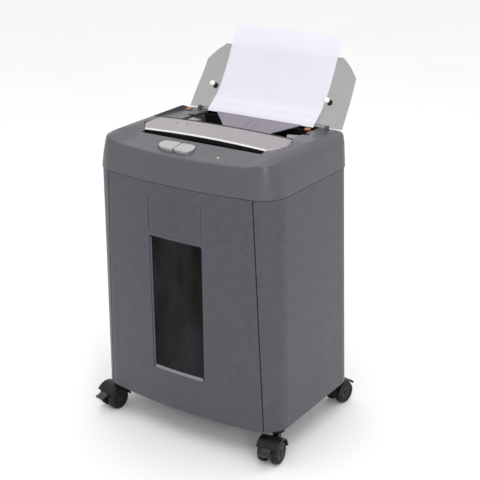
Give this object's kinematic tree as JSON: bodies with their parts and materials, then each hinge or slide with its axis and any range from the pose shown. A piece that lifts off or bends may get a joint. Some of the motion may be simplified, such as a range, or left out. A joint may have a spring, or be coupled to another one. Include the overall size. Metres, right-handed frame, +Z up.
{
  "type": "paper shredder",
  "caption": "Paper shredder on casters: tapered cabinet with windowed pull-out bin, cutter head with hand-feed slot, and flip-up smoked lid over an auto-feed chamber.",
  "frame": {"origin": "middle of the bounding box's floor face, under the casters", "axes": "+Z up, front (bin door) faces -Y, +X to the right seen from the front"},
  "size_m": [0.3812, 0.355, 0.6425],
  "materials": {
    "slate_plastic": "satin slate plastic",
    "slate_head": "satin slate plastic, lighter on top",
    "silver_plastic": "satin silver",
    "bright_plastic": "bright silver",
    "ramp_plastic": "satin light grey",
    "black_plastic": "moulded black",
    "smoked_window": "smoked, clear",
    "smoked_lid": "smoked, clear",
    "white_plastic": "white",
    "paper": "plain white paper",
    "steel": "plated steel",
    "cutter_steel": "hardened steel",
    "nylon": "natural nylon",
    "rubber": "black rubber",
    "orange_plastic": "orange",
    "blue_lens": "blue lens",
    "amber_lens": "amber lens",
    "circuit_board": "green board",
    "pedal_plastic": "grey plastic"
  },
  "bodies": {
    "housing": {"side_panel_left": "slate_plastic", "side_panel_right": "slate_plastic", "back_panel": "slate_plastic", "base_plate": "black_plastic", "head_cover": "slate_head", "head_chassis": "black_plastic", "feed_bar": "silver_plastic", "slot_chute": "black_plastic", "feed_well": "black_plastic", "paper_ramp": "ramp_plastic", "sensor_tab_left": "orange_plastic", "sensor_tab_right": "orange_plastic", "control_board": "circuit_board", "led_ready": "blue_lens", "led_alert": "amber_lens", "cutter_cheek_left": "steel", "cutter_cheek_right": "steel", "tie_rod_front": "steel", "tie_rod_rear": "steel", "stripper_comb_front": "nylon", "stripper_comb_rear": "nylon", "drive_motor": "steel", "power_inlet": "black_plastic", "bin_switch": "black_plastic", "caster_stem_front_left": "black_plastic", "caster_stem_front_right": "black_plastic", "caster_stem_rear_left": "black_plastic", "caster_stem_rear_right": "black_plastic"},
    "bin": {"bin_door": "slate_plastic", "bin_window": "smoked_window", "pull_grip": "slate_plastic", "waste_tub": "black_plastic"},
    "lid": {"feed_lid": "smoked_lid", "lid_post_left": "black_plastic", "lid_post_right": "black_plastic", "lid_post_tip_left": "white_plastic", "lid_post_tip_right": "white_plastic", "paper_sheet": "paper"},
    "auto_button": {"button_auto": "bright_plastic"},
    "reverse_button": {"button_reverse": "bright_plastic"},
    "front_cutter": {"cutter_roll_front": "cutter_steel", "cutter_gear_front": "steel"},
    "rear_cutter": {"cutter_roll_rear": "cutter_steel", "cutter_gear_rear": "steel"},
    "idler": {"idler_gear": "nylon"},
    "motor_rotor": {"motor_pinion": "steel"},
    "feed_roller": {"feed_shaft": "steel", "feed_roller_left": "rubber", "feed_roller_right": "rubber"},
    "rocker": {"power_rocker": "black_plastic"},
    "caster_fork_front_right": {"caster_hood_front_right": "black_plastic"},
    "caster_roller_front_right": {"caster_wheels_front_right": "rubber"},
    "brake_front_right": {"brake_pedal_front_right": "pedal_plastic"},
    "caster_fork_front_left": {"caster_hood_front_left": "black_plastic"},
    "caster_roller_front_left": {"caster_wheels_front_left": "rubber"},
    "brake_front_left": {"brake_pedal_front_left": "pedal_plastic"},
    "caster_fork_rear_right": {"caster_hood_rear_right": "black_plastic"},
    "caster_roller_rear_right": {"caster_wheels_rear_right": "rubber"},
    "caster_fork_rear_left": {"caster_hood_rear_left": "black_plastic"},
    "caster_roller_rear_left": {"caster_wheels_rear_left": "rubber"}
  },
  "joints": [
    {"name": "bin_slide", "type": "slide", "parent": "housing", "child": "bin", "axis": [0, -1, 0], "range_m": [0, 0.23]},
    {"name": "lid_hinge", "type": "hinge", "parent": "housing", "child": "lid", "pos_m": [0.00067, 0.08435, 0.5089], "axis": [1, 0, 0], "range_deg": [0, 120]},
    {"name": "auto_button_press", "type": "slide", "parent": "housing", "child": "auto_button", "axis": [0, 0, -1], "range_m": [0, 0.002], "stiffness_N_per_m": 300, "springref_m": -0.001},
    {"name": "reverse_button_press", "type": "slide", "parent": "housing", "child": "reverse_button", "axis": [0, 0, -1], "range_m": [0, 0.002], "stiffness_N_per_m": 300, "springref_m": -0.001},
    {"name": "front_cutter_spin", "type": "hinge", "parent": "housing", "child": "front_cutter", "pos_m": [0.00067, -0.06725, 0.43], "axis": [1, 0, 0], "continuous": true},
    {"name": "rear_cutter_spin", "type": "hinge", "parent": "housing", "child": "rear_cutter", "pos_m": [0.00067, -0.03025, 0.43], "axis": [1, 0, 0], "continuous": true},
    {"name": "idler_spin", "type": "hinge", "parent": "housing", "child": "idler", "pos_m": [0.00067, -0.00065, 0.43], "axis": [1, 0, 0], "continuous": true},
    {"name": "motor_spin", "type": "hinge", "parent": "housing", "child": "motor_rotor", "pos_m": [0.00067, 0.03037, 0.42453], "axis": [1, 0, 0], "continuous": true},
    {"name": "feed_spin", "type": "hinge", "parent": "housing", "child": "feed_roller", "pos_m": [0.00067, -0.00065, 0.47425], "axis": [1, 0, 0], "continuous": true},
    {"name": "rocker_tilt", "type": "hinge", "parent": "housing", "child": "rocker", "pos_m": [-0.06733, 0.08975, 0.474], "axis": [1, 0, 0], "range_deg": [0, 12]},
    {"name": "caster_swivel_front_right", "type": "hinge", "parent": "housing", "child": "caster_fork_front_right", "pos_m": [0.16567, -0.12075, 0.04], "axis": [0, 0, 1], "continuous": true},
    {"name": "caster_roll_front_right", "type": "hinge", "parent": "caster_fork_front_right", "child": "caster_roller_front_right", "pos_m": [0.16866, -0.14204, 0.02], "axis": [0.9903, 0.1392, 0], "continuous": true},
    {"name": "brake_press_front_right", "type": "hinge", "parent": "caster_fork_front_right", "child": "brake_front_right", "pos_m": [0.17146, -0.16194, 0.0319], "axis": [0.9903, 0.1392, 0], "range_deg": [0, 12]},
    {"name": "caster_swivel_front_left", "type": "hinge", "parent": "housing", "child": "caster_fork_front_left", "pos_m": [-0.16433, -0.12075, 0.04], "axis": [0, 0, 1], "continuous": true},
    {"name": "caster_roll_front_left", "type": "hinge", "parent": "caster_fork_front_left", "child": "caster_roller_front_left", "pos_m": [-0.16806, -0.14192, 0.02], "axis": [0.9848, -0.1736, 0], "continuous": true},
    {"name": "brake_press_front_left", "type": "hinge", "parent": "caster_fork_front_left", "child": "brake_front_left", "pos_m": [-0.17155, -0.16171, 0.0319], "axis": [0.9848, -0.1736, 0], "range_deg": [0, 12]},
    {"name": "caster_swivel_rear_right", "type": "hinge", "parent": "housing", "child": "caster_fork_rear_right", "pos_m": [0.15467, 0.07775, 0.04], "axis": [0, 0, 1], "continuous": true},
    {"name": "caster_roll_rear_right", "type": "hinge", "parent": "caster_fork_rear_right", "child": "caster_roller_rear_right", "pos_m": [0.15766, 0.09904, 0.02], "axis": [-0.9903, 0.1392, 0], "continuous": true},
    {"name": "caster_swivel_rear_left", "type": "hinge", "parent": "housing", "child": "caster_fork_rear_left", "pos_m": [-0.15333, 0.07775, 0.04], "axis": [0, 0, 1], "continuous": true},
    {"name": "caster_roll_rear_left", "type": "hinge", "parent": "caster_fork_rear_left", "child": "caster_roller_rear_left", "pos_m": [-0.15632, 0.09904, 0.02], "axis": [-0.9903, -0.1392, 0], "continuous": true}
  ],
  "couplings": [
    {"joint": "rear_cutter_spin", "follows": "front_cutter_spin", "ratio": -1},
    {"joint": "idler_spin", "follows": "front_cutter_spin", "ratio": 1.6667},
    {"joint": "motor_spin", "follows": "front_cutter_spin", "ratio": -5.3333},
    {"joint": "feed_spin", "follows": "front_cutter_spin", "ratio": -1.9753}
  ]
}
